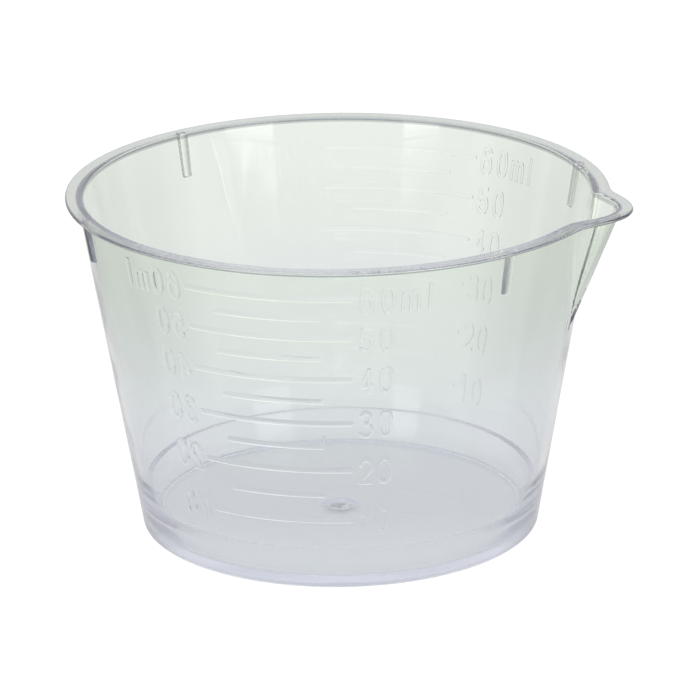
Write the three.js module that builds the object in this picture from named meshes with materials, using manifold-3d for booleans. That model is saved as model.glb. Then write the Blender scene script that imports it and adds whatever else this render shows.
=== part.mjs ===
// Clear 60 ml medicine cup: a tapered, thin-walled dosing cup with a pouring spout, a narrow rim flange,
// four stacking ribs, a foot ring and raised 10 to 60 ml scales on two opposite sides.
// Millimetres, +Z up, origin on the cup's axis in the plane that the foot stands on, spout towards +X.
import * as THREE from 'three';
import { mergeVertices } from 'three/addons/utils/BufferGeometryUtils.js';
import Module from 'manifold-3d';

// ---- driving dimensions -------------------------------------------------------------------------
const HEIGHT = 37.7;            // foot plane to the top of the rim
const FOOT_R = 21.85;           // outer wall radius, carried down to the foot plane
const TAPER = 0.1689;           // radius gained per millimetre of height
const WALL_T = 0.8;             // wall at the foot, measured across
const WALL_TOP_T = 0.68;        // wall at the rim
const FLOOR_TOP = 1.2;          // inside of the floor
const BASE_UNDER = 0.2;         // recessed underside of the floor
const FLOOR_EDGE_R = 20.4;      // where the floor meets the steep lowest band of the wall
const LEDGE_Z = 4.6;            // top of that band: a narrow ledge on which the next cup nests
const LEDGE_W = 0.45;
const BEND_Z = 7.4;             // where the wall starts to steepen towards the ledge
const BEND_SLOPE = 12;          // degrees from upright between the bend and the ledge
const RIM_T = 0.4;              // flange thickness
const RIM_R = 29.44;            // flange outer radius
const SPOUT_Z0 = 23.8;          // lowest point of the spout channel
const SPOUT_OUT = 31.42;        // outer wall at the spout's tip, at the rim
const SPOUT_IN = 30.98;         // inner wall at the spout's tip, at the rim
const SPOUT_RIM = 32.6;         // flange at the spout's tip
const SPOUT_Q_OUT = 0.098;      // plan of the spout: x = tip - q * y^2
const SPOUT_Q_IN = 0.135;
const SPOUT_Q_RIM = 0.093;
const SPOUT_BLEND = 0.77;       // softness of the neck where the spout meets the round rim
const RIB_AZ = [34.4, 144.8, -144.8, -34.4];
const RIB_W = 1.36;             // half-round ribs, width and depth
const RIB_D = 0.55;
const RIB_Z0 = 32.65;           // lower end of the ribs
const FOOT_IN_R = 20.8;         // inside of the foot ring, at the foot plane
const FOOT_SLOPE_R = 20.45;     // where its inner slope meets the floor's underside
const GATE_WELL_R = 2.2;
const GATE_WELL_Z = 0.4;
const GATE_R = 0.85;            // sprue stub, at its root
const GATE_TIP_Z = 0.1;         // its flat end, just above the foot plane
const LINE_H = 0.42;            // raised graduation line, height and relief
const LINE_T = 0.12;
const LONG_HALF = 19.5;         // half angle of the lines at whole tens
const SHORT_HALF = 12.6;        // half angle of the lines between
const DIGIT_H = 3.15;
const DIGIT_W = 1.6;
const DIGIT_PITCH = 4.75;       // degrees from one digit to the next
const DIGIT_START = 20.6;       // degrees from the scale's middle to the first digit
const STROKE = 0.42;
const DIGIT_T = 0.12;            // relief of the numerals
const DIGIT_ROOT = 0.3;         // how deep the numerals are rooted in the wall
const CLEAR = 0.02;             // hairline between a moulded feature and its neighbour

const rad = (d) => (d * Math.PI) / 180;

// ---- the walls as functions of azimuth and height -----------------------------------------------
const coneOut = (z) => FOOT_R + TAPER * z;
const coneIn = (z) => coneOut(z) - (WALL_T + ((WALL_TOP_T - WALL_T) * z) / HEIGHT);
const smax = (a, b, s) => (a + b + Math.sqrt((a - b) * (a - b) + s * s)) / 2;

// distance from the axis to the parabola x = tip - q y^2 in direction az
function parabola(az, tip, q) {
  const s = Math.sin(az), c = Math.cos(az), k = q * s * s;
  return k < 1e-9 ? tip / c : (-c + Math.sqrt(c * c + 4 * k * tip)) / (2 * k);
}

function withSpout(cone, tip0, tip1, q, az, z) {
  const a = Math.abs(Math.atan2(Math.sin(az), Math.cos(az)));
  const t = (z - SPOUT_Z0) / (HEIGHT - SPOUT_Z0);
  if (t <= 1e-6 || a > rad(42)) return cone;
  const r = smax(cone, parabola(a, tip0 + (tip1 - tip0) * t, q / t), SPOUT_BLEND * t);
  const fade = 1 - Math.min(1, Math.max(0, (a - rad(30)) / rad(12)));
  return cone + (r - cone) * fade;
}

const wallOut = (az, z) => withSpout(coneOut(z), coneOut(SPOUT_Z0), SPOUT_OUT, SPOUT_Q_OUT, az, z);
const wallIn = (az, z) => withSpout(coneIn(z), coneIn(SPOUT_Z0), SPOUT_IN, SPOUT_Q_IN, az, z);
const rimOut = (az) => withSpout(RIM_R, RIM_R, SPOUT_RIM, SPOUT_Q_RIM, az, HEIGHT);

// ---- azimuth grid: fine across the spout, even elsewhere ----------------------------------------
const SPOUT_SPAN = 22, SPOUT_CELLS = 20, ROUND_CELLS = 60;
const GRID = [];
for (let i = 0; i <= SPOUT_CELLS; i++) GRID.push(rad(-SPOUT_SPAN + (2 * SPOUT_SPAN * i) / SPOUT_CELLS));
for (let i = 1; i <= ROUND_CELLS; i++) GRID.push(rad(SPOUT_SPAN + ((360 - 2 * SPOUT_SPAN) * i) / ROUND_CELLS));

// ---- helpers ------------------------------------------------------------------------------------
function tidy(geometry) {
  geometry.deleteAttribute('normal');
  geometry.deleteAttribute('uv');
  geometry.clearGroups();
  const g = mergeVertices(geometry, 1e-4);
  const p = g.attributes.position, index = g.index.array, kept = [];
  const v = (i) => new THREE.Vector3().fromBufferAttribute(p, i);
  let volume = 0;
  for (let i = 0; i < index.length; i += 3) {
    const [a, b, c] = [index[i], index[i + 1], index[i + 2]];
    if (a === b || b === c || c === a) continue;
    kept.push(a, b, c);
    volume += v(a).dot(v(b).cross(v(c)));
  }
  if (volume < 0) for (let i = 0; i < kept.length; i += 3) [kept[i + 1], kept[i + 2]] = [kept[i + 2], kept[i + 1]];
  g.setIndex(kept);
  return g;
}

// a lathe turned about +Z on the azimuth grid; radius(az, point) may reshape each profile point
function turned(profile, radius = (az, p) => p.r) {
  const n = GRID.length - 1;
  const g = new THREE.LatheGeometry(profile.map((p) => new THREE.Vector2(p.r, p.z)), n);
  const pos = g.attributes.position;
  for (let i = 0; i <= n; i++) {
    const az = i === n ? GRID[0] : GRID[i];
    profile.forEach((p, j) => {
      const r = p.r === 0 ? 0 : radius(az, p);
      pos.setXYZ(i * profile.length + j, r * Math.cos(az), r * Math.sin(az), p.z);
    });
  }
  return tidy(g);
}

// radius of the flat facet of the outer wall at azimuth az
function facetOut(az, z) {
  const a = az < GRID[0] ? az + 2 * Math.PI : az;
  let i = 0;
  while (i < GRID.length - 2 && GRID[i + 1] < a) i++;
  const p0 = wallOut(GRID[i], z), p1 = wallOut(GRID[i + 1], z);
  const x0 = p0 * Math.cos(GRID[i]), y0 = p0 * Math.sin(GRID[i]);
  const x1 = p1 * Math.cos(GRID[i + 1]), y1 = p1 * Math.sin(GRID[i + 1]);
  const nx = y1 - y0, ny = x0 - x1;
  return (nx * x0 + ny * y0) / (nx * Math.cos(a) + ny * Math.sin(a));
}

const wasm = await Module();
wasm.setup();

function toSolid(geometry) {
  return new wasm.Manifold(new wasm.Mesh({
    numProp: 3,
    vertProperties: new Float32Array(geometry.attributes.position.array),
    triVerts: new Uint32Array(geometry.index.array),
  }));
}

function fromSolid(solid) {
  const mesh = solid.getMesh(), g = new THREE.BufferGeometry();
  g.setAttribute('position', new THREE.BufferAttribute(new Float32Array(mesh.vertProperties), 3));
  g.setIndex(Array.from(mesh.triVerts));
  return g;
}

const cup = new THREE.Group();
cup.name = 'medicine_cup';
function piece(name, geometry, { color = 0xe8eef1, roughness = 0.06 } = {}) {
  const material = new THREE.MeshStandardMaterial({ color, roughness, metalness: 0 });
  const mesh = new THREE.Mesh(geometry, material);
  mesh.name = name;
  cup.add(mesh);
  return mesh;
}

// ---- vessel: floor, tapered wall and spout channel ----------------------------------------------
const RIM_UNDER = HEIGHT - RIM_T;
const spoutRows = [SPOUT_Z0, 26.2, 28.8, 31.4, 34.2];
const outerRows = [BASE_UNDER, ...spoutRows, RIM_UNDER, HEIGHT];
const innerRows = [HEIGHT, RIM_UNDER, ...spoutRows.slice().reverse(), BEND_Z];
const LEDGE_R = coneIn(BEND_Z) - (BEND_Z - LEDGE_Z) * Math.tan(rad(BEND_SLOPE));
const vesselProfile = [
  { r: 0, z: GATE_WELL_Z },
  { r: GATE_WELL_R - 0.7, z: GATE_WELL_Z },
  { r: GATE_WELL_R, z: BASE_UNDER },
  ...outerRows.map((z) => ({ r: coneOut(z), z, side: 'out' })),
  ...innerRows.map((z) => ({ r: coneIn(z), z, side: 'in' })),
  { r: LEDGE_R, z: LEDGE_Z + 0.04 },
  { r: LEDGE_R - LEDGE_W, z: LEDGE_Z },
  { r: FLOOR_EDGE_R, z: FLOOR_TOP },
  { r: 0, z: FLOOR_TOP },
];
let vessel = toSolid(turned(vesselProfile, (az, p) =>
  p.side === 'out' ? wallOut(az, p.z) : p.side === 'in' ? wallIn(az, p.z) : p.r));

// ---- numerals: raised strokes bent onto the outer wall ------------------------------------------
// each glyph is a list of pen strokes in a box 1 wide and 1 high; a closed stroke is a loop
const arc = (cx, cy, rx, ry, a0, a1, n) => Array.from({ length: n + 1 }, (_, i) => {
  const a = rad(a0 + ((a1 - a0) * i) / n);
  return [cx + rx * Math.cos(a), cy + ry * Math.sin(a)];
});
const GLYPHS = {
  0: [{ loop: arc(0.5, 0.5, 0.5, 0.5, 0, 360, 10) }],
  1: [{ path: [[0.12, 0.74], [0.55, 1], [0.55, 0]] }],
  2: [{ path: [...arc(0.5, 0.7, 0.48, 0.3, 165, -25, 5), [0.02, 0], [1, 0]] }],
  3: [{ path: [...arc(0.46, 0.76, 0.46, 0.24, 150, -80, 5), ...arc(0.46, 0.27, 0.54, 0.27, 75, -155, 5)] }],
  4: [{ path: [[0.72, 0], [0.72, 1], [0, 0.28], [1, 0.28]] }],
  5: [{ path: [[0.92, 1], [0.16, 1], [0.08, 0.53], ...arc(0.48, 0.33, 0.52, 0.33, 105, -150, 5)] }],
  6: [{ loop: arc(0.5, 0.31, 0.5, 0.31, 0, 360, 8) }, { path: [[0.02, 0.38], [0.16, 0.72], [0.7, 1]] }],
  m: [{ path: [[0.03, 0], [0.03, 0.64], [0.45, 0.6], [0.5, 0]] }, { path: [[0.46, 0.55], [0.92, 0.62], [0.97, 0]] }],
  l: [{ path: [[0.5, 0], [0.5, 1]] }],
};

// outline of a pen stroke of the given width along an open path, with mitred corners
function strokeShape(path, width) {
  const left = [], right = [], h = width / 2;
  path.forEach((p, i) => {
    const a = path[Math.max(0, i - 1)], b = path[Math.min(path.length - 1, i + 1)];
    const d0 = new THREE.Vector2(p[0] - a[0], p[1] - a[1]), d1 = new THREE.Vector2(b[0] - p[0], b[1] - p[1]);
    if (i === 0) d0.copy(d1);
    if (i === path.length - 1) d1.copy(d0);
    d0.normalize(); d1.normalize();
    const t = d0.clone().add(d1).normalize();
    const m = Math.min(2, 1 / Math.max(0.35, t.dot(d1)));
    left.push(new THREE.Vector2(p[0] - t.y * h * m, p[1] + t.x * h * m));
    right.push(new THREE.Vector2(p[0] + t.y * h * m, p[1] - t.x * h * m));
  });
  return new THREE.Shape([...left, ...right.reverse()]);
}

function glyphSolid(name, { centre, side, start, z0, width, height }) {
  const w = width - STROKE, h = height - STROKE;
  let solid = null;
  for (const stroke of GLYPHS[name]) {
    const scale = (p) => [p[0] * w, (p[1] - 0.5) * h];
    let shape;
    if (stroke.loop) {
      const pts = stroke.loop.slice(0, -1).map(scale);
      const cx = pts.reduce((s, p) => s + p[0], 0) / pts.length, cy = pts.reduce((s, p) => s + p[1], 0) / pts.length;
      const hx = Math.max(...pts.map((p) => Math.abs(p[0] - cx))), hy = Math.max(...pts.map((p) => Math.abs(p[1] - cy)));
      const off = (d) => pts.map((p) => new THREE.Vector2(cx + ((p[0] - cx) * (hx + d)) / hx, cy + ((p[1] - cy) * (hy + d)) / hy));
      shape = new THREE.Shape(off(STROKE / 2));
      shape.holes.push(new THREE.Path(off(-STROKE / 2)));
    } else {
      shape = strokeShape(stroke.path.map(scale), STROKE);
    }
    const g = new THREE.ExtrudeGeometry(shape, { depth: DIGIT_ROOT + DIGIT_T, bevelEnabled: false, curveSegments: 1, steps: 1 });
    const pos = g.attributes.position;
    for (let i = 0; i < pos.count; i++) {
      const z = z0 + pos.getY(i);
      const az = rad(centre) + side * (rad(start) + (pos.getX(i) + STROKE / 2) / coneOut(z0));
      const r = coneOut(z) - DIGIT_ROOT + pos.getZ(i);
      pos.setXYZ(i, r * Math.cos(az), r * Math.sin(az), z);
    }
    const s = toSolid(tidy(g));
    solid = solid ? solid.add(s) : s;
  }
  return solid;
}

// heights of the graduations: the inside is a steep frustum up to the ledge and a tapered one above
const frustum = (h, a, b) => (Math.PI / 3) * h * (a * a + a * b + b * b);
function volumeTo(z) {
  return frustum(LEDGE_Z - FLOOR_TOP, FLOOR_EDGE_R, coneIn(LEDGE_Z)) + frustum(z - LEDGE_Z, coneIn(LEDGE_Z), coneIn(z));
}
function heightOf(ml) {
  let lo = LEDGE_Z, hi = HEIGHT;
  for (let i = 0; i < 60; i++) {
    const mid = (lo + hi) / 2;
    if (volumeTo(mid) < ml * 1000) lo = mid; else hi = mid;
  }
  return (lo + hi) / 2;
}

// on each side one column reads from outside, and its mirror image reads through the wall from inside
for (const centre of [-90, 90]) {
  for (const side of [1, -1]) {
    for (const ml of [10, 20, 30, 40, 50, 60]) {
      const z0 = heightOf(ml);
      [...String(ml)].forEach((digit, i) => {
        vessel = vessel.add(glyphSolid(digit, { centre, side, z0, width: DIGIT_W, height: DIGIT_H, start: DIGIT_START + DIGIT_PITCH * i }));
      });
      if (ml === 60) {
        vessel = vessel.add(glyphSolid('m', { centre, side, z0: z0 - 0.25, width: 2.2, height: 2.6, start: DIGIT_START + DIGIT_PITCH * 2 - 0.4 }));
        vessel = vessel.add(glyphSolid('l', { centre, side, z0: z0 + 0.2, width: 0.9, height: 2.9, start: DIGIT_START + DIGIT_PITCH * 3 + 0.6 }));
      }
    }
  }
}
piece('cup_body', fromSolid(vessel));

// ---- rim flange: follows the rim and the spout --------------------------------------------------
piece('rim_flange', turned([
  { r: 28.3, z: RIM_UNDER, side: 'wall' },
  { r: RIM_R - 0.1, z: RIM_UNDER, side: 'edge', d: -0.1 },
  { r: RIM_R, z: RIM_UNDER + 0.1, side: 'edge', d: 0 },
  { r: RIM_R, z: HEIGHT - 0.1, side: 'edge', d: 0 },
  { r: RIM_R - 0.1, z: HEIGHT, side: 'edge', d: -0.1 },
  { r: 28.3, z: HEIGHT, side: 'wall' },
  { r: 28.3, z: RIM_UNDER, side: 'wall' },
], (az, p) => (p.side === 'wall' ? wallOut(az, p.z) + CLEAR : rimOut(az) + p.d)));

// ---- foot ring: the standing edge under the floor -----------------------------------------------
piece('foot_ring', turned([
  { r: FOOT_IN_R, z: 0 },
  { r: FOOT_R - 0.3, z: 0 },
  { r: FOOT_R - 0.06, z: 0.07 },
  { r: FOOT_R, z: BASE_UNDER - CLEAR },
  { r: FOOT_SLOPE_R, z: BASE_UNDER - CLEAR },
  { r: FOOT_IN_R, z: 0 },
]));

// ---- gate vestige: the sprue stub in the well under the floor -----------------------------------
{
  const length = GATE_WELL_Z - CLEAR - GATE_TIP_Z;
  const g = new THREE.CylinderGeometry(GATE_R, GATE_R * 0.7, length, 20, 1);
  g.rotateX(Math.PI / 2);
  g.translate(0, 0, GATE_TIP_Z + length / 2);
  piece('gate_vestige', tidy(g));
}

// ---- stacking ribs under the flange: half-round bars ---------------------------------------------
for (const az of RIB_AZ) {
  const top = RIM_UNDER - CLEAR;
  const half = Array.from({ length: 9 }, (_, i) => {
    const t = Math.PI - (Math.PI * i) / 8;
    return new THREE.Vector2((RIB_W / 2) * Math.cos(t), RIB_D * Math.sin(t));
  });
  const g = new THREE.ExtrudeGeometry(new THREE.Shape(half), { depth: top - RIB_Z0, bevelEnabled: false, steps: 1 });
  const pos = g.attributes.position;
  for (let i = 0; i < pos.count; i++) {
    const z = RIB_Z0 + pos.getZ(i), grow = 0.9 + (0.1 * (z - RIB_Z0)) / (top - RIB_Z0);
    const a = rad(az) + (pos.getX(i) * grow) / coneOut(z);
    const r = Math.max(facetOut(a, z), wallOut(a, z)) + 2 * CLEAR + pos.getY(i) * grow;
    pos.setXYZ(i, r * Math.cos(a), r * Math.sin(a), z);
  }
  const where = `${Math.abs(az) < 90 ? 'spout' : 'rear'}_${az > 0 ? 'left' : 'right'}`;
  piece(`stacking_rib_${where}`, tidy(g));
}

// ---- graduation lines: raised arcs on the two scale sides ---------------------------------------
for (const [sideName, centre] of [['right', -90], ['left', 90]]) {
  for (let ml = 10; ml <= 60; ml += 5) {
    const half = ml % 10 ? SHORT_HALF : LONG_HALF, z0 = heightOf(ml);
    const a0 = rad(centre - half), a1 = rad(centre + half);
    const turn = (a) => Math.atan2(Math.sin(a), Math.cos(a));
    const inside = GRID.map(turn).filter((a) => a > a0 + 1e-3 && a < a1 - 1e-3).sort((a, b) => a - b);
    const azs = [a0, ...inside, a1], n = azs.length - 1;
    const g = new THREE.BoxGeometry(1, 1, 1, n, 1, 1);
    const pos = g.attributes.position;
    for (let i = 0; i < pos.count; i++) {
      const az = azs[Math.round((pos.getX(i) + 0.5) * n)];
      const proud = pos.getY(i) > 0, z = z0 + pos.getZ(i) * LINE_H * (proud ? 0.75 : 1);
      const r = facetOut(az, z) + CLEAR + (proud ? LINE_T - CLEAR : 0);
      pos.setXYZ(i, r * Math.cos(az), r * Math.sin(az), z);
    }
    piece(`graduation_${ml}ml_${sideName}`, tidy(g));
  }
}

export default cup;
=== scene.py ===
import math

import bpy
import numpy as np
from mathutils import Matrix, Vector


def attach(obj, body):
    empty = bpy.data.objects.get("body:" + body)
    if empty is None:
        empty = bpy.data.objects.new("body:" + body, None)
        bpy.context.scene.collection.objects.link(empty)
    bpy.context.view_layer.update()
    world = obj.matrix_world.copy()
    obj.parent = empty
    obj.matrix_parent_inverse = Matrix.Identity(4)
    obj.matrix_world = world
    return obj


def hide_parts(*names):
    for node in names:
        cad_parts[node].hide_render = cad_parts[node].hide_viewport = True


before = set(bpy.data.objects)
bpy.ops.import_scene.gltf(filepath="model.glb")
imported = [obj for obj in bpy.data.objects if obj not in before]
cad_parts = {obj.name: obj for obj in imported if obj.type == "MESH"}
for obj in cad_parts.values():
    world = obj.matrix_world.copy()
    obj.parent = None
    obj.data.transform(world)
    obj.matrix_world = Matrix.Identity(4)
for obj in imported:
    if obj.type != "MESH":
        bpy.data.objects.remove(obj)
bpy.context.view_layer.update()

MM = 0.001

# ---------------------------------------------------------------- dimensions, millimetres (as in the frame)
HEIGHT, FOOT_R, TAPER, WALL_T, WALL_TOP_T = 37.7, 21.85, 0.1689, 0.8, 0.68
FLOOR_TOP, BASE_UNDER, FLOOR_EDGE_R, LEDGE_Z, LEDGE_W = 1.2, 0.2, 20.4, 4.6, 0.45
RIM_T, RIM_R = 0.4, 29.44
SPOUT_Z0, SPOUT_OUT, SPOUT_IN, SPOUT_RIM = 23.8, 31.42, 30.98, 32.6
Q_OUT, Q_IN, Q_RIM, BLEND = 0.098, 0.135, 0.093, 0.77
RIB_AZ, RIB_W, RIB_D, RIB_Z0 = (34.4, 144.8, -144.8, -34.4), 1.36, 0.55, 32.65
FOOT_IN_R, BEND_Z = 20.8, 7.4
LINE_H, LONG_HALF, SHORT_HALF = 0.42, 19.5, 12.6
DIGIT_H, DIGIT_W, DIGIT_PITCH, DIGIT_START = 3.15, 1.6, 4.75, 20.6
STROKE = 0.42
RELIEF = {-90: (0.06, 0.05), 90: (0.032, 0.025)}   # graduation lines and numerals, by the side of the cup


def cone_out(z):
    return FOOT_R + TAPER * z


def cone_in(z):
    return cone_out(z) - (WALL_T + (WALL_TOP_T - WALL_T) * z / HEIGHT)


def parabola(az, tip, q):
    """Distance from the axis to the curve x = tip - q y^2, in the direction az."""
    s, c = np.sin(az), np.cos(az)
    k = np.maximum(q * s * s, 1e-12)
    r = (-c + np.sqrt(c * c + 4 * k * tip)) / (2 * k)
    return np.where(np.abs(s) < 1e-4, tip / c, r)


def spout_lift(base, tip0, tip1, q, az, z):
    """How far the pouring channel stands out of the round wall."""
    a = np.abs(np.arctan2(np.sin(az), np.cos(az)))
    t = np.clip((z - SPOUT_Z0) / (HEIGHT - SPOUT_Z0), 0, 1)
    ts = np.maximum(t, 0.13)
    p = parabola(np.minimum(a, 1.0), tip0 + (tip1 - tip0) * t, q / ts)
    s = BLEND * ts
    r = (base + p + np.sqrt((base - p) ** 2 + s * s)) / 2
    fade = 1 - np.clip((a - math.radians(28)) / math.radians(14), 0, 1)
    fade = fade * fade * (3 - 2 * fade)
    low = np.clip(t / 0.08, 0, 1)
    low = low * low * (3 - 2 * low)
    return (r - base) * fade * low


def lift_out(az, z):
    return spout_lift(cone_out(z), cone_out(SPOUT_Z0), SPOUT_OUT, Q_OUT, az, z)


def lift_in(az, z):
    return spout_lift(cone_in(z), cone_in(SPOUT_Z0), SPOUT_IN, Q_IN, az, z)


def lift_rim(az, z):
    return spout_lift(RIM_R + 0 * z, RIM_R, SPOUT_RIM, Q_RIM, az, HEIGHT + 0 * z)


# ---------------------------------------------------------------- mesh helpers
def rounded(corners, step=8.0):
    """A polyline with its corners rounded: (r, z, fillet radius) to a list of points."""
    out = []
    n = len(corners)
    for i, (x, y, f) in enumerate(corners):
        if f <= 0 or i in (0, n - 1):
            out.append((x, y))
            continue
        p = np.array((x, y), float)
        a = np.array(corners[i - 1][:2], float) - p
        b = np.array(corners[i + 1][:2], float) - p
        la, lb = np.linalg.norm(a), np.linalg.norm(b)
        a, b = a / la, b / lb
        ang = math.acos(float(np.clip(a @ b, -1, 1)))
        cut = min(f / math.tan(ang / 2), 0.49 * la, 0.49 * lb)
        f = cut * math.tan(ang / 2)
        mid = (a + b) / np.linalg.norm(a + b)
        centre = p + mid * f / math.sin(ang / 2)
        p0, p1 = p + a * cut, p + b * cut
        a0 = math.atan2(p0[1] - centre[1], p0[0] - centre[0])
        a1 = math.atan2(p1[1] - centre[1], p1[0] - centre[0])
        d = (a1 - a0 + math.pi) % (2 * math.pi) - math.pi
        m = max(2, int(math.ceil(abs(math.degrees(d)) / step)))
        for j in range(m + 1):
            t = a0 + d * j / m
            out.append((centre[0] + f * math.cos(t), centre[1] + f * math.sin(t)))
    return out


def make_object(name, verts, faces, materials=(), face_material=None):
    me = bpy.data.meshes.new(name)
    me.from_pydata([tuple(v) for v in np.asarray(verts, float) * MM], [], faces)
    me.validate()
    me.update()
    for m in materials:
        me.materials.append(m)
    if face_material is not None:
        me.polygons.foreach_set("material_index", np.full(len(me.polygons), face_material, dtype=np.int32))
    ob = bpy.data.objects.new(name, me)
    bpy.context.scene.collection.objects.link(ob)
    return ob


# ---------------------------------------------------------------- vessel: one continuous turned skin
def densify(pts, limit):
    """Adds points so that no step is longer than the limit."""
    out = [pts[0]]
    for a, b in zip(pts[:-1], pts[1:]):
        a, b = np.array(a), np.array(b)
        n = max(1, int(math.ceil(np.linalg.norm(b - a) / limit)))
        for j in range(1, n + 1):
            out.append(tuple(a + (b - a) * j / n))
    return out


def vessel_mesh(materials):
    under = HEIGHT - RIM_T
    top_r = cone_out(HEIGHT)
    ledge_r = cone_in(BEND_Z) - (BEND_Z - LEDGE_Z) * math.tan(math.radians(12.0))
    outline = rounded([
        (0.0, 0.4, 0),
        (1.5, 0.4, 0.8),               # gate well
        (2.2, BASE_UNDER, 0.8),
        (FOOT_IN_R - 0.35, BASE_UNDER, 0.4),
        (FOOT_IN_R, 0.0, 0.3),
        (FOOT_R, 0.0, 0.32),           # heel
        (cone_out(under), under, 0.22),
        (RIM_R, under, 0.195),         # flange
        (RIM_R, HEIGHT, 0.195),
        (top_r - 0.02, HEIGHT, 0),
        (cone_in(HEIGHT), HEIGHT, 0.28),
        (cone_in(BEND_Z), BEND_Z, 3.0),
        (ledge_r, LEDGE_Z + 0.04, 0.2),  # nesting ledge
        (ledge_r - LEDGE_W, LEDGE_Z, 0.22),
        (FLOOR_EDGE_R, FLOOR_TOP, 0.45),
        (0.0, FLOOR_TOP, 0),
    ])
    # the wall's own rows: close together where the spout bends it, wider apart below
    pts = densify(outline, 1.6)
    fine = []
    for a, b in zip(pts[:-1], pts[1:]):
        fine.append(a)
        if abs(b[1] - a[1]) > 0.6 and max(a[1], b[1]) > SPOUT_Z0 - 0.6:
            n = int(math.ceil(abs(b[1] - a[1]) / 0.45))
            for j in range(1, n):
                fine.append((a[0] + (b[0] - a[0]) * j / n, a[1] + (b[1] - a[1]) * j / n))
    fine.append(pts[-1])
    prof = np.array(fine)
    # azimuths: half a degree across the spout, one degree round the rest
    az = np.concatenate([np.radians(np.arange(-44, 44, 0.55)), np.radians(np.arange(44, 316, 1.0))])
    n = len(az)
    verts = []
    rows = []
    for r, z in prof:
        if r < 1e-6:
            rows.append([len(verts)])
            verts.append((0, 0, z))
            continue
        zz = np.full(n, z)
        lo, li, lr = lift_out(az, zz), lift_in(az, zz), lift_rim(az, zz)
        ro, ri = cone_out(z), cone_in(z)
        if r >= ro:
            w = min(1.0, (r - ro) / (RIM_R - ro))
            lift = lo + (lr - lo) * w
        elif r <= ri:
            lift = li
        else:
            w = (r - ri) / (ro - ri)
            lift = li + (lo - li) * w
        if z < SPOUT_Z0 - 0.01:
            lift = np.zeros(n)
        rr = r + lift
        rows.append(list(range(len(verts), len(verts) + n)))
        verts.extend(zip(rr * np.cos(az), rr * np.sin(az), zz))
    faces = []
    for a, b in zip(rows[:-1], rows[1:]):
        for i in range(n):
            j = (i + 1) % n
            if len(a) == 1:
                faces.append((a[0], b[i], b[j]))
            elif len(b) == 1:
                faces.append((a[i], b[0], a[j]))
            else:
                faces.append((a[i], b[i], b[j], a[j]))
    faces = [tuple(reversed(f)) for f in faces]
    return make_object("medicine_cup_clear", verts, faces, materials, 0)


# ---------------------------------------------------------------- raised numerals: rounded strokes
def arc(cx, cy, rx, ry, a0, a1, n):
    t = np.radians(np.linspace(a0, a1, n + 1))
    return [(cx + rx * math.cos(v), cy + ry * math.sin(v)) for v in t]


def oval(cx, cy, rx, ry, n=28, power=2.4):
    """A squarish oval, as a narrow sans-serif nought is."""
    out = []
    for v in np.linspace(0, 2 * math.pi, n + 1):
        c, s = math.cos(v), math.sin(v)
        out.append((cx + rx * math.copysign(abs(c) ** (2 / power), c), cy + ry * math.copysign(abs(s) ** (2 / power), s)))
    return out


GLYPHS = {
    "0": [oval(0.5, 0.5, 0.5, 0.5)],
    "1": [[(0.12, 0.76), (0.36, 0.84), (0.56, 1.0)], [(0.56, 1.0), (0.56, 0.0)]],
    "2": [arc(0.5, 0.71, 0.47, 0.29, 168, -22, 12) + [(0.72, 0.42), (0.2, 0.16), (0.02, 0.0)], [(0.02, 0.0), (1.0, 0.0)]],
    "3": [arc(0.47, 0.765, 0.44, 0.235, 150, -88, 12), arc(0.46, 0.265, 0.54, 0.265, 88, -155, 14)],
    "4": [[(0.74, 0.0), (0.74, 1.0)], [(0.74, 1.0), (0.0, 0.27)], [(0.0, 0.27), (1.0, 0.27)]],
    "5": [[(0.9, 1.0), (0.18, 1.0)], [(0.18, 1.0), (0.08, 0.54)], arc(0.48, 0.325, 0.52, 0.325, 140, -152, 14)],
    "6": [oval(0.5, 0.31, 0.5, 0.31, 24, 2.2), [(0.0, 0.34), (0.02, 0.58), (0.12, 0.84)] + arc(0.52, 0.74, 0.42, 0.26, 140, 28, 8)],
    "m": [[(0.02, 0.0), (0.02, 0.92)], arc(0.26, 0.66, 0.24, 0.28, 178, 0, 10) + [(0.5, 0.0)],
          arc(0.74, 0.66, 0.24, 0.28, 178, 0, 10) + [(0.98, 0.0)]],
    "l": [[(0.5, 0.0), (0.5, 1.0)]],
}


GENTLE, UNDER = 9.0, 29.0           # flanks of a raised mark: the cup leaves its mould upwards, so the upper ones are gentle


def section(half, relief, level, face, beside):
    """Across a raised mark: domed top, a flank on each side. face is how far its second side looks up (-1 to 1).
    Level 0 sinks the mark under the surface, to end it."""
    crown = max(0.02, half - relief / math.tan(math.radians(UNDER)))
    sides = []
    for up in (-face, face):
        slope = beside + ((GENTLE if up > 0 else UNDER) - beside) * abs(up)
        run = relief / math.tan(math.radians(slope))
        foot = crown + run
        side = [(foot + 0.03, -0.25), (foot + 0.03, -0.012)]
        for f, h in ((0.0, 0.0), (0.6, 0.66), (0.85, 0.84), (1.0, 0.91)):
            side.append((foot - f * run, h * relief if level else -0.012 - 0.012 * h))
        sides.append(side)
    top = [(0.0, relief if level else -0.03)]
    return [(-u, h) for u, h in sides[0]] + top + [(u, h) for u, h in reversed(sides[1])]


def swept(rings, closed):
    """Joins rings of points to a closed body."""
    n, k = len(rings), len(rings[0])
    verts = np.asarray(rings, float).reshape(-1, 3)
    faces = []
    for i in range(n if closed else n - 1):
        i2 = (i + 1) % n
        for j in range(k):
            j2 = (j + 1) % k
            faces.append((i * k + j, i * k + j2, i2 * k + j2, i2 * k + j))
    if not closed:
        faces.append(tuple(range(k - 1, -1, -1)))
        faces.append(tuple((n - 1) * k + j for j in range(k)))
    return verts, faces


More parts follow.
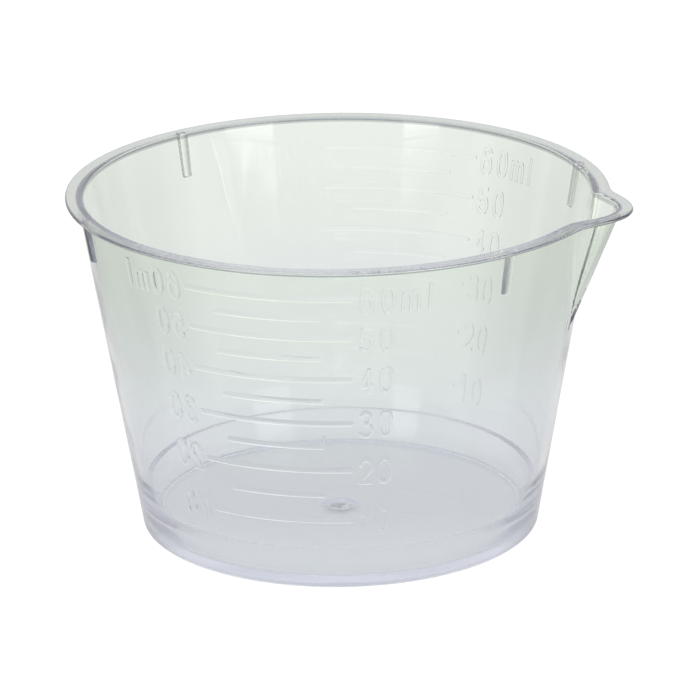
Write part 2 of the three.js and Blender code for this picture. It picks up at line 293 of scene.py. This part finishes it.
def glyph_stroke(path, centre, side, start, z0, width, height):
    """One pen stroke of a numeral, bent round the outer wall."""
    w, h = width - STROKE, height - STROKE
    half, relief, beside = STROKE / 2, RELIEF[centre][1], 13.0
    if side * centre < 0:                # the column that reads from outside is cut deeper than its mirror image
        relief, beside = relief * 1.3, 31.0
    elif start > 28.0:
        relief, beside = relief * 0.55, 9.0
    p = np.array([(x * w, (y - 0.5) * h) for x, y in path])
    closed = bool(np.hypot(*(p[0] - p[-1])) < 1e-6)
    if closed:
        p = p[:-1]
        level = [1] * len(p)
    else:
        a, b = p[0] - p[1], p[-1] - p[-2]
        a, b = a / np.hypot(*a), b / np.hypot(*b)
        e = half * 0.8
        p = np.vstack([p[0] + a * (e + 0.05), p[0] + a * (e - relief * 2.4), p[1:-1], p[-1] + b * (e - relief * 2.4), p[-1] + b * (e + 0.05)])
        level = [0] + [1] * (len(p) - 2) + [0]
    n = len(p)
    rings = []
    for i in range(n):
        d0 = p[i] - p[i - 1] if (i > 0 or closed) else p[1] - p[0]
        d1 = p[(i + 1) % n] - p[i] if (i < n - 1 or closed) else p[-1] - p[-2]
        d0, d1 = d0 / np.hypot(*d0), d1 / np.hypot(*d1)
        t = (d0 + d1) / np.hypot(*(d0 + d1))
        m = min(1.5, 1 / max(0.4, float(t @ d1)))
        ring = []
        for u, lift in section(half, relief, level[i], float(t[0]), beside):
            X, Y = p[i, 0] - t[1] * u * m, p[i, 1] + t[0] * u * m
            z = z0 + Y
            a = math.radians(centre) + side * (math.radians(start) + (X + half) / cone_out(z0))
            r = cone_out(z) + lift
            ring.append((r * math.cos(a), r * math.sin(a), z))
        rings.append(ring)
    return swept(rings, closed)


def frustum(h, a, b):
    return math.pi / 3 * h * (a * a + a * b + b * b)


def height_of(ml):
    """Height of a graduation: the inside is a steep frustum up to the ledge and a tapered one above it."""
    base = frustum(LEDGE_Z - FLOOR_TOP, FLOOR_EDGE_R, cone_in(LEDGE_Z))
    lo, hi = LEDGE_Z, HEIGHT
    for _ in range(60):
        mid = (lo + hi) / 2
        if base + frustum(mid - LEDGE_Z, cone_in(LEDGE_Z), cone_in(mid)) < ml * 1000:
            lo = mid
        else:
            hi = mid
    return (lo + hi) / 2


def gather(bodies):
    """Many closed bodies that don't meet, as one mesh."""
    verts, faces, count = [], [], 0
    for v, f in bodies:
        verts.append(v)
        faces.extend(tuple(int(i) + count for i in q) for q in f)
        count += len(v)
    return np.concatenate(verts), faces


def numerals(layer):
    """The first, second or third stroke of every numeral: strokes of one layer don't meet."""
    out = []
    for centre in (-90, 90):
        for side in (1, -1):
            for ml in (10, 20, 30, 40, 50, 60):
                z0 = height_of(ml)
                signs = [(digit, DIGIT_START + DIGIT_PITCH * i, z0, DIGIT_W, DIGIT_H) for i, digit in enumerate(str(ml))]
                if ml == 60:
                    signs.append(("m", DIGIT_START + DIGIT_PITCH * 2 - 0.4, z0 - 0.3, 2.2, 2.5))
                    signs.append(("l", DIGIT_START + DIGIT_PITCH * 3 + 0.5, z0 + 0.05, 0.9, 3.2))
                for sign, start, z, w, h in signs:
                    if layer < len(GLYPHS[sign]):
                        out.append(glyph_stroke(GLYPHS[sign][layer], centre, side, start, z, w, h))
    return gather(out)


# ---------------------------------------------------------------- raised graduation lines
def graduation_lines():
    out = []
    for centre in (-90, 90):
        for ml in range(10, 61, 5):
            half = SHORT_HALF if ml % 10 else LONG_HALF
            z0 = height_of(ml)
            relief = RELIEF[centre][0]
            end = math.degrees(relief * 5.0 / cone_out(z0))
            inner = list(np.linspace(-half + end, half - end, int(half * 2 / 1.6)))
            level = [0] + [1] * len(inner) + [0]
            rings = []
            for a, lv in zip([-half] + inner + [half], level):
                az = math.radians(centre + a)
                ring = []
                for u, lift in section(LINE_H / 2, relief, lv, 1.0, UNDER):
                    z = z0 + u + LINE_H / 4
                    r = cone_out(z) + lift
                    ring.append((r * math.cos(az), r * math.sin(az), z))
                rings.append(ring)
            out.append(swept(rings, False))
    return gather(out)


# ---------------------------------------------------------------- gate: a torn sprue stub under the floor
def gate():
    rows = []
    n = 9
    wob = [0.0, 0.24, -0.15, 0.3, -0.2, 0.08, 0.26, -0.3, 0.12]
    for z, r, k in ((0.7, 1.15, 0), (0.42, 1.0, 2), (0.28, 0.85, 5), (0.17, 0.6, 3)):
        ring = []
        for i in range(n):
            a = 2 * math.pi * (i + 0.5 * (k % 2)) / n
            rr = r * (1 + wob[(i * 2 + k) % n])
            dz = 0.0 if z > 0.6 else 0.2 * wob[(i * 4 + k) % n]
            ring.append((rr * math.cos(a), rr * math.sin(a), z + dz))
        rows.append(ring)
    verts = [v for row in rows for v in row] + [(0.12, -0.08, 0.1), (0.0, 0.0, 0.7)]
    faces = []
    for i in range(len(rows) - 1):
        for j in range(n):
            j2 = (j + 1) % n
            a, b, c, d = i * n + j, i * n + j2, (i + 1) * n + j2, (i + 1) * n + j
            faces.append((a, b, c))
            faces.append((a, c, d))
    last = (len(rows) - 1) * n
    for j in range(n):
        faces.append((last + j, last + (j + 1) % n, len(verts) - 2))
        faces.append(((j + 1) % n, j, len(verts) - 1))
    return np.array(verts), faces


# ---------------------------------------------------------------- stacking ribs: short half-round bars under the flange, outside
def ribs():
    verts, faces, count = [], [], 0
    top = HEIGHT - RIM_T + 0.12
    for az in RIB_AZ:
        c, s = math.cos(math.radians(az)), math.sin(math.radians(az))
        zs = [RIB_Z0, RIB_Z0 + 0.03, RIB_Z0 + 0.1, RIB_Z0 + 0.2, RIB_Z0 + 0.32] + list(np.linspace(RIB_Z0 + 1.0, top, 8))
        grow = [0.72, 0.86, 0.95, 0.99, 1.0] + [1.0] * 8
        rows = []
        for z, g in zip(zs, grow):
            hw = RIB_W / 2 * (0.86 + 0.14 * (z - RIB_Z0) / (top - RIB_Z0)) * (0.7 + 0.3 * g)
            sec = [(-hw, -0.3)]
            for t in np.linspace(180, 0, 25):
                sec.append((hw * math.cos(math.radians(t)), RIB_D * g * math.sin(math.radians(t)) ** 0.8 - 0.01))
            sec.append((hw, -0.3))
            rows.append(sec)
            for w, lift in sec:
                r = cone_out(z) + lift
                verts.append((r * c - w * s, r * s + w * c, z))
        k = len(rows[0])
        n = len(rows)
        for i in range(n - 1):
            for j in range(k):
                j2 = (j + 1) % k
                faces.append((count + i * k + j, count + i * k + j2, count + (i + 1) * k + j2, count + (i + 1) * k + j))
        faces.append(tuple(count + j for j in range(k - 1, -1, -1)))
        faces.append(tuple(count + (n - 1) * k + j for j in range(k)))
        count += n * k
    return np.array(verts), faces


def outward(ob):
    """Turns the faces of a closed mesh so that they point out."""
    import bmesh
    bm = bmesh.new()
    bm.from_mesh(ob.data)
    bmesh.ops.recalc_face_normals(bm, faces=bm.faces)
    if bm.calc_volume(signed=True) < 0:
        bmesh.ops.reverse_faces(bm, faces=bm.faces)
    bm.to_mesh(ob.data)
    bm.free()


def join_solid(body, tool):
    m = body.modifiers.new("join", "BOOLEAN")
    m.operation = "UNION"
    m.solver = "MANIFOLD"
    m.object = tool
    bpy.context.view_layer.update()
    dg = bpy.context.evaluated_depsgraph_get()
    me = bpy.data.meshes.new_from_object(body.evaluated_get(dg), depsgraph=dg)
    body.modifiers.clear()
    old = body.data
    body.data = me
    bpy.data.meshes.remove(old)
    me.name = body.name
    data = tool.data
    bpy.data.objects.remove(tool)
    bpy.data.meshes.remove(data)


# ---------------------------------------------------------------- materials
def clear_plastic(name, rough_lo, rough_hi, rough_relief, tints, bump):
    m = bpy.data.materials.new(name)
    m.use_nodes = True
    nt = m.node_tree
    N, L = nt.nodes, nt.links
    N.clear()
    out = N.new("ShaderNodeOutputMaterial")
    p = N.new("ShaderNodeBsdfPrincipled")
    L.new(p.outputs[0], out.inputs["Surface"])
    p.inputs["Transmission Weight"].default_value = 1.0
    p.inputs["IOR"].default_value = 1.59
    p.inputs["Metallic"].default_value = 0.0
    tc = N.new("ShaderNodeTexCoord")
    # the colour by height: a cool cast low down, a faint green one above, and a dark band of painted shade round the
    # flange's edge, standing in for the light lost inside the rim
    sx = N.new("ShaderNodeSeparateXYZ")
    L.new(tc.outputs["Object"], sx.inputs[0])
    hz = N.new("ShaderNodeMapRange")
    hz.inputs["From Min"].default_value = 0.0
    hz.inputs["From Max"].default_value = 0.04
    L.new(sx.outputs["Z"], hz.inputs["Value"])
    cr = N.new("ShaderNodeValToRGB")
    cr.color_ramp.interpolation = "LINEAR"
    stops = cr.color_ramp.elements
    for i, (z, rgb) in enumerate(tints):
        e = stops[i] if i < 2 else stops.new(z / 40.0)
        e.position = z / 40.0
        e.color = (*rgb, 1)
    L.new(hz.outputs["Result"], cr.inputs["Fac"])
    # a narrow band round the flange edge, darkened with painted shade
    flange_shade_band = []
    for lo, hi in ((0.03712, 0.03724), (0.0376, 0.03748)):
        b = N.new("ShaderNodeMapRange")
        b.inputs["From Min"].default_value = lo
        b.inputs["From Max"].default_value = hi
        L.new(sx.outputs["Z"], b.inputs["Value"])
        flange_shade_band.append(b.outputs["Result"])
    mm = N.new("ShaderNodeMath")
    mm.operation = "MULTIPLY"
    L.new(flange_shade_band[0], mm.inputs[0])
    L.new(flange_shade_band[1], mm.inputs[1])
    mx = N.new("ShaderNodeMix")
    mx.data_type = "RGBA"
    L.new(mm.outputs[0], mx.inputs["Factor"])
    L.new(cr.outputs["Color"], mx.inputs["A"])
    mx.inputs["B"].default_value = (*FLANGE_PAINTED_SHADE, 1)
    L.new(mx.outputs["Result"], p.inputs["Base Color"])
    # faint, patchy gloss: handling haze over a polished mould surface
    n1 = N.new("ShaderNodeTexNoise")
    n1.inputs["Scale"].default_value = 140.0
    n1.inputs["Detail"].default_value = 5.0
    n1.inputs["Roughness"].default_value = 0.6
    L.new(tc.outputs["Object"], n1.inputs["Vector"])
    mr = N.new("ShaderNodeMapRange")
    mr.inputs["From Min"].default_value = 0.35
    mr.inputs["From Max"].default_value = 0.7
    mr.inputs["To Min"].default_value = rough_lo
    mr.inputs["To Max"].default_value = rough_hi
    L.new(n1.outputs["Fac"], mr.inputs["Value"])
    at = N.new("ShaderNodeAttribute")
    at.attribute_name = "relief"
    rm = N.new("ShaderNodeMath")
    rm.operation = "MULTIPLY_ADD"
    rm.inputs[1].default_value = rough_relief
    L.new(at.outputs["Fac"], rm.inputs[0])
    L.new(mr.outputs["Result"], rm.inputs[2])
    # scuffed where it stands and at the lowest edge
    flat = N.new("ShaderNodeVectorMath")
    flat.operation = "MULTIPLY"
    flat.inputs[1].default_value = (1.0, 1.0, 0.0)
    L.new(tc.outputs["Object"], flat.inputs[0])
    rad = N.new("ShaderNodeVectorMath")
    rad.operation = "LENGTH"
    L.new(flat.outputs[0], rad.inputs[0])
    heel = []
    for value, lo, hi in ((rad.outputs["Value"], 0.0193, 0.0206), (sx.outputs["Z"], 0.0034, 0.0014)):
        h = N.new("ShaderNodeMapRange")
        h.interpolation_type = "SMOOTHSTEP"
        h.inputs["From Min"].default_value = lo
        h.inputs["From Max"].default_value = hi
        L.new(value, h.inputs["Value"])
        heel.append(h.outputs["Result"])
    hm = N.new("ShaderNodeMath")
    hm.operation = "MULTIPLY"
    L.new(heel[0], hm.inputs[0])
    L.new(heel[1], hm.inputs[1])
    ha = N.new("ShaderNodeMath")
    ha.operation = "MULTIPLY_ADD"
    ha.inputs[1].default_value = 0.12
    L.new(hm.outputs[0], ha.inputs[0])
    L.new(rm.outputs["Value"], ha.inputs[2])
    L.new(ha.outputs["Value"], p.inputs["Roughness"])
    # slow waves of the moulded wall, and a very fine grain
    n2 = N.new("ShaderNodeTexNoise")
    n2.inputs["Scale"].default_value = 90.0
    n2.inputs["Detail"].default_value = 2.0
    L.new(tc.outputs["Object"], n2.inputs["Vector"])
    b1 = N.new("ShaderNodeBump")
    b1.inputs["Strength"].default_value = 1.0
    b1.inputs["Distance"].default_value = bump
    L.new(n2.outputs["Fac"], b1.inputs["Height"])
    n3 = N.new("ShaderNodeTexNoise")
    n3.inputs["Scale"].default_value = 1400.0
    n3.inputs["Detail"].default_value = 3.0
    L.new(tc.outputs["Object"], n3.inputs["Vector"])
    b2 = N.new("ShaderNodeBump")
    b2.inputs["Strength"].default_value = 1.0
    b2.inputs["Distance"].default_value = bump * 0.012
    L.new(n3.outputs["Fac"], b2.inputs["Height"])
    L.new(b1.outputs["Normal"], b2.inputs["Normal"])
    L.new(b2.outputs["Normal"], p.inputs["Normal"])
    # the plastic's own faint colour, seen along a long way through it
    va = N.new("ShaderNodeVolumeAbsorption")
    va.inputs["Color"].default_value = ABSORB
    va.inputs["Density"].default_value = DENSITY
    L.new(va.outputs[0], out.inputs["Volume"])
    return m


TINTS = (
    (0.0, (0.93, 0.955, 0.98)), (4.0, (0.93, 0.95, 0.98)), (10.0, (0.93, 0.95, 0.965)),
    (17.0, (0.925, 0.955, 0.955)), (26.0, (0.92, 0.965, 0.91)), (38.0, (0.92, 0.965, 0.895)),
)
# painted shade: the dark colour of the band round the flange edge
FLANGE_PAINTED_SHADE = (0.40, 0.43, 0.42)
ABSORB = (0.62, 0.62, 0.80, 1)
DENSITY = 12.0
clear = clear_plastic("clear_polystyrene", 0.015, 0.05, 0.03, TINTS, 0.00003)

# ---------------------------------------------------------------- build
cup = vessel_mesh((clear,))
outward(cup)
for nm, (v, f) in (("rib_tool", ribs()), ("line_tool", graduation_lines()), ("stroke_tool_1", numerals(0)),
                   ("stroke_tool_2", numerals(1)), ("stroke_tool_3", numerals(2)), ("gate_tool", gate())):
    tool = make_object(nm, v, f, (clear,))
    outward(tool)
    join_solid(cup, tool)
for poly in cup.data.polygons:
    poly.use_smooth = True
cup.data.set_sharp_from_angle(angle=math.radians(9.5))
co = np.empty(len(cup.data.vertices) * 3)
cup.data.vertices.foreach_get("co", co)
co = co.reshape(-1, 3) / MM
stand = np.hypot(co[:, 0], co[:, 1]) - cone_out(co[:, 2])
scale_side = (np.abs(co[:, 0]) < 21.0) & (co[:, 2] > 5) & (co[:, 2] < 36.6)
mark = cup.data.attributes.new("relief", "FLOAT", "POINT")
turned = np.degrees(np.arctan2(co[:, 1], co[:, 0]))
on_rib = sum((np.abs(turned - a) < 1.6).astype(float) for a in RIB_AZ) * (stand > 0.03) * (co[:, 2] < HEIGHT - RIM_T - 0.02)
mark.data.foreach_set("value", (np.clip((stand - 0.01) / 0.04, 0, 1) * scale_side + 5.0 * on_rib).astype(np.float32))
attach(cup, "root")
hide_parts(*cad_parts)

# ---------------------------------------------------------------- floor
VIEWER = (0.279, -0.960)            # the side that the camera stands on
ASIDE = (0.960, 0.279)              # its right hand
# factor of painted shade on the floor to either side of the cup, as the cup sees it
FLOOR_SIDE_PAINTED_SHADE = 0.6
# floor emission by distance from the cup's axis (mm, strength): painted contact shadow under and round the foot,
# brighter further out
FLOOR_PAINTED_LIGHT = ((0.0, 0.2), (0.9, 0.3), (2.2, 0.54), (20.0, 0.56), (23.0, 0.70), (28.0, 0.76), (42.0, 0.78), (76.0, 0.80), (112.0, 0.85), (150.0, 0.90), (198.0, 1.02))


def floor_material():
    """A white table. Seen directly it is plain white; to the cup it gives painted light and shade: a painted contact
    shadow under and round the foot, painted shade to the sides and painted extra light on the viewer's side.
    """
    m = bpy.data.materials.new("pale_floor")
    m.use_nodes = True
    nt = m.node_tree
    N, L = nt.nodes, nt.links
    p = N["Principled BSDF"]
    p.inputs["Base Color"].default_value = (0.1, 0.1, 0.1, 1)
    p.inputs["Roughness"].default_value = 0.9
    p.inputs["Specular IOR Level"].default_value = 0.0
    p.inputs["Emission Color"].default_value = (1, 1, 1, 1)
    tc = N.new("ShaderNodeTexCoord")
    far = N.new("ShaderNodeVectorMath")
    far.operation = "LENGTH"
    L.new(tc.outputs["Object"], far.inputs[0])
    unit = N.new("ShaderNodeMapRange")
    unit.inputs["From Max"].default_value = 0.2
    L.new(far.outputs["Value"], unit.inputs["Value"])
    near = N.new("ShaderNodeValToRGB")
    near.color_ramp.interpolation = "EASE"
    stops = near.color_ramp.elements
    for i, (r, v) in enumerate(FLOOR_PAINTED_LIGHT):
        e = stops[i] if i < 2 else stops.new(r / 200.0)
        e.position = r / 200.0
        e.color = (v, v, v, 1)
    L.new(unit.outputs["Result"], near.inputs["Fac"])
    dt = N.new("ShaderNodeVectorMath")
    dt.operation = "DOT_PRODUCT"
    dt.inputs[1].default_value = (ASIDE[0], ASIDE[1], 0.0)
    L.new(tc.outputs["Object"], dt.inputs[0])
    ab = N.new("ShaderNodeMath")
    ab.operation = "ABSOLUTE"
    L.new(dt.outputs["Value"], ab.inputs[0])
    fd = N.new("ShaderNodeVectorMath")
    fd.operation = "DOT_PRODUCT"
    fd.inputs[1].default_value = (VIEWER[0], VIEWER[1], 0.0)
    L.new(tc.outputs["Object"], fd.inputs[0])
    painted_floor_light = near.outputs["Color"]
    # painted shade on the floor to the sides, and painted extra light on the viewer's side
    for value, r0, r1, v1 in ((ab.outputs[0], 0.014, 0.029, 0.9), (ab.outputs[0], 0.036, 0.074, FLOOR_SIDE_PAINTED_SHADE), (fd.outputs["Value"], 0.0, 0.018, 1.18)):
        mr = N.new("ShaderNodeMapRange")
        mr.interpolation_type = "SMOOTHSTEP"
        mr.inputs["From Min"].default_value = r0
        mr.inputs["From Max"].default_value = r1
        mr.inputs["To Min"].default_value = 1.0
        mr.inputs["To Max"].default_value = v1
        L.new(value, mr.inputs["Value"])
        ml = N.new("ShaderNodeMath")
        ml.operation = "MULTIPLY"
        L.new(painted_floor_light, ml.inputs[0])
        L.new(mr.outputs["Result"], ml.inputs[1])
        painted_floor_light = ml.outputs[0]
    # camera rays see the floor plain white; every other ray sees this painted light and shade
    lp = N.new("ShaderNodeLightPath")
    pick = N.new("ShaderNodeMix")
    pick.data_type = "FLOAT"
    L.new(lp.outputs["Is Camera Ray"], pick.inputs["Factor"])
    L.new(painted_floor_light, pick.inputs["A"])
    pick.inputs["B"].default_value = 1.0
    L.new(pick.outputs["Result"], p.inputs["Emission Strength"])
    return m


fl = bpy.data.meshes.new("floor")
S = 6.0
fl.from_pydata([(-S, -S, 0), (S, -S, 0), (S, S, 0), (-S, S, 0)], [], [(0, 1, 2, 3)])
fl.materials.append(floor_material())
floor = bpy.data.objects.new("floor", fl)
bpy.context.scene.collection.objects.link(floor)
floor.location.z = -0.00002

# ---------------------------------------------------------------- light: a dim room with soft pale panels
world = bpy.data.worlds.new("studio")
bpy.context.scene.world = world
world.use_nodes = True
wn, wl = world.node_tree.nodes, world.node_tree.links
wn.clear()
wo = wn.new("ShaderNodeOutputWorld")
bg = wn.new("ShaderNodeBackground")
wl.new(bg.outputs[0], wo.inputs["Surface"])
wtc = wn.new("ShaderNodeTexCoord")


def along(v):
    n = wn.new("ShaderNodeVectorMath")
    n.operation = "DOT_PRODUCT"
    n.inputs[1].default_value = v
    wl.new(wtc.outputs["Generated"], n.inputs[0])
    return n.outputs["Value"]


def calc(op, a, b=None):
    n = wn.new("ShaderNodeMath")
    n.operation = op
    for i, v in enumerate((a, b)):
        if v is None:
            continue
        if isinstance(v, (int, float)):
            n.inputs[i].default_value = v
        else:
            wl.new(v, n.inputs[i])
    return n.outputs[0]


def step(value, at, soft):
    """0 below at - soft, 1 above at + soft (degrees)."""
    n = wn.new("ShaderNodeMapRange")
    n.interpolation_type = "SMOOTHSTEP"
    n.inputs["From Min"].default_value = math.radians(at - soft)
    n.inputs["From Max"].default_value = math.radians(at + soft)
    wl.new(value, n.inputs["Value"])
    return n.outputs["Result"]


turn = calc("ARCTAN2", along((*ASIDE, 0.0)), along((*VIEWER, 0.0)))
rise = calc("ARCSINE", along((0.0, 0.0, 1.0)))


def panel(a0, a1, e0, e1, soft_a=1.0, soft_e=1.0):
    """1 inside a range of directions: a0..a1 degrees round from the viewer's side, e0..e1 above the table."""
    m = calc("MULTIPLY", step(rise, e0, soft_e), calc("SUBTRACT", 1.0, step(rise, e1, soft_e)))
    if a0 is not None:
        m = calc("MULTIPLY", m, calc("MULTIPLY", step(turn, a0, soft_a), calc("SUBTRACT", 1.0, step(turn, a1, soft_a))))
    return m


def add_light(colour, mask, rgb):
    n = wn.new("ShaderNodeVectorMath")
    n.operation = "MULTIPLY_ADD"
    n.inputs[0].default_value = rgb
    wl.new(mask, n.inputs[1])
    if isinstance(colour, tuple):
        n.inputs[2].default_value = colour
    else:
        wl.new(colour, n.inputs[2])
    return n.outputs[0]


def sector(a0, a1, e0, e1, soft_a=5.0, soft_e=3.0):
    """The same on both hands: a0..a1 degrees away from the viewer's side."""
    m = calc("MULTIPLY", step(rise, e0, soft_e), calc("SUBTRACT", 1.0, step(rise, e1, soft_e)))
    return calc("MULTIPLY", m, calc("MULTIPLY", step(aside, a0, soft_a), calc("SUBTRACT", 1.0, step(aside, a1, soft_a))))


aside = calc("ABSOLUTE", turn)
light = (0.0, 0.0, 0.0)
for m, rgb in (
    (panel(-48, -31, 1.5, 34), (1.35, 1.35, 1.3)),
    (panel(29, 52, 1.5, 34), (1.35, 1.35, 1.3)),
    (sector(-20, 60, -9, 34), (0.36, 0.36, 0.41)),       # the viewer's side
    (sector(-20, 60, 34, 62), (0.6, 0.6, 0.7)),
    (sector(60, 120, -9, 32), (0.4, 0.4, 0.42)),         # left and right
    (sector(60, 120, 32, 62), (0.6, 0.6, 0.7)),
    (sector(120, 200, -9, 9), (1.12, 1.12, 1.1)),        # behind
    (sector(120, 200, 9, 40), (0.95, 0.95, 0.95)),
    (sector(120, 200, 40, 62), (0.6, 0.61, 0.68)),
    (panel(None, None, 62, 100, 1, 3), (0.6, 0.61, 0.68)),   # overhead
):
    light = add_light(light, m, rgb)
# seen directly the surround is as white as the floor, so a low view has no horizon
seen = wn.new("ShaderNodeLightPath")
backdrop = wn.new("ShaderNodeMix")
backdrop.data_type = "RGBA"
wl.new(seen.outputs["Is Camera Ray"], backdrop.inputs["Factor"])
wl.new(light, backdrop.inputs["A"])
backdrop.inputs["B"].default_value = (1.0, 1.0, 1.0, 1.0)
wl.new(backdrop.outputs["Result"], bg.inputs["Color"])
bg.inputs["Strength"].default_value = 1.0

# ---------------------------------------------------------------- camera, fitted to the outline
TURN = math.radians(16.2)
EL, DIST, FPX, YAW, ROLL, CZ = math.radians(19.358), 0.4831, 4403.9, 0.00250, -0.01158, 0.01915
cy_, sy_ = math.cos(YAW), math.sin(YAW)
cr_, sr_ = math.cos(ROLL), math.sin(ROLL)
ce, se = math.cos(EL), math.sin(EL)
fwd, right, up = Vector((0, ce, -se)), Vector((1, 0, 0)), Vector((0, se, ce))
f2 = fwd * cy_ + right * sy_
r2 = right * cy_ - fwd * sy_
r3 = r2 * cr_ + up * sr_
u3 = up * cr_ - r2 * sr_
where = Vector((0, -DIST * ce, DIST * se + CZ))
spin = Matrix.Rotation(TURN, 3, "Z")
f2, r3, u3, where = spin @ f2, spin @ r3, spin @ u3, spin @ where
cam = bpy.data.cameras.new("camera")
cam.sensor_fit = "HORIZONTAL"
cam.sensor_width = 36.0
cam.lens = FPX / 700 * 36.0
cam.clip_start = 0.01
cam.clip_end = 50.0
camera = bpy.data.objects.new("camera", cam)
bpy.context.scene.collection.objects.link(camera)
camera.matrix_world = Matrix(((r3.x, u3.x, -f2.x, where.x), (r3.y, u3.y, -f2.y, where.y), (r3.z, u3.z, -f2.z, where.z), (0, 0, 0, 1)))
bpy.context.scene.camera = camera

# ---------------------------------------------------------------- light paths and tone
sc = bpy.context.scene
sc.view_settings.view_transform = "Standard"
sc.view_settings.look = "None"
sc.cycles.max_bounces = 72
sc.cycles.transmission_bounces = 72
sc.cycles.glossy_bounces = 72
sc.cycles.use_denoising = True
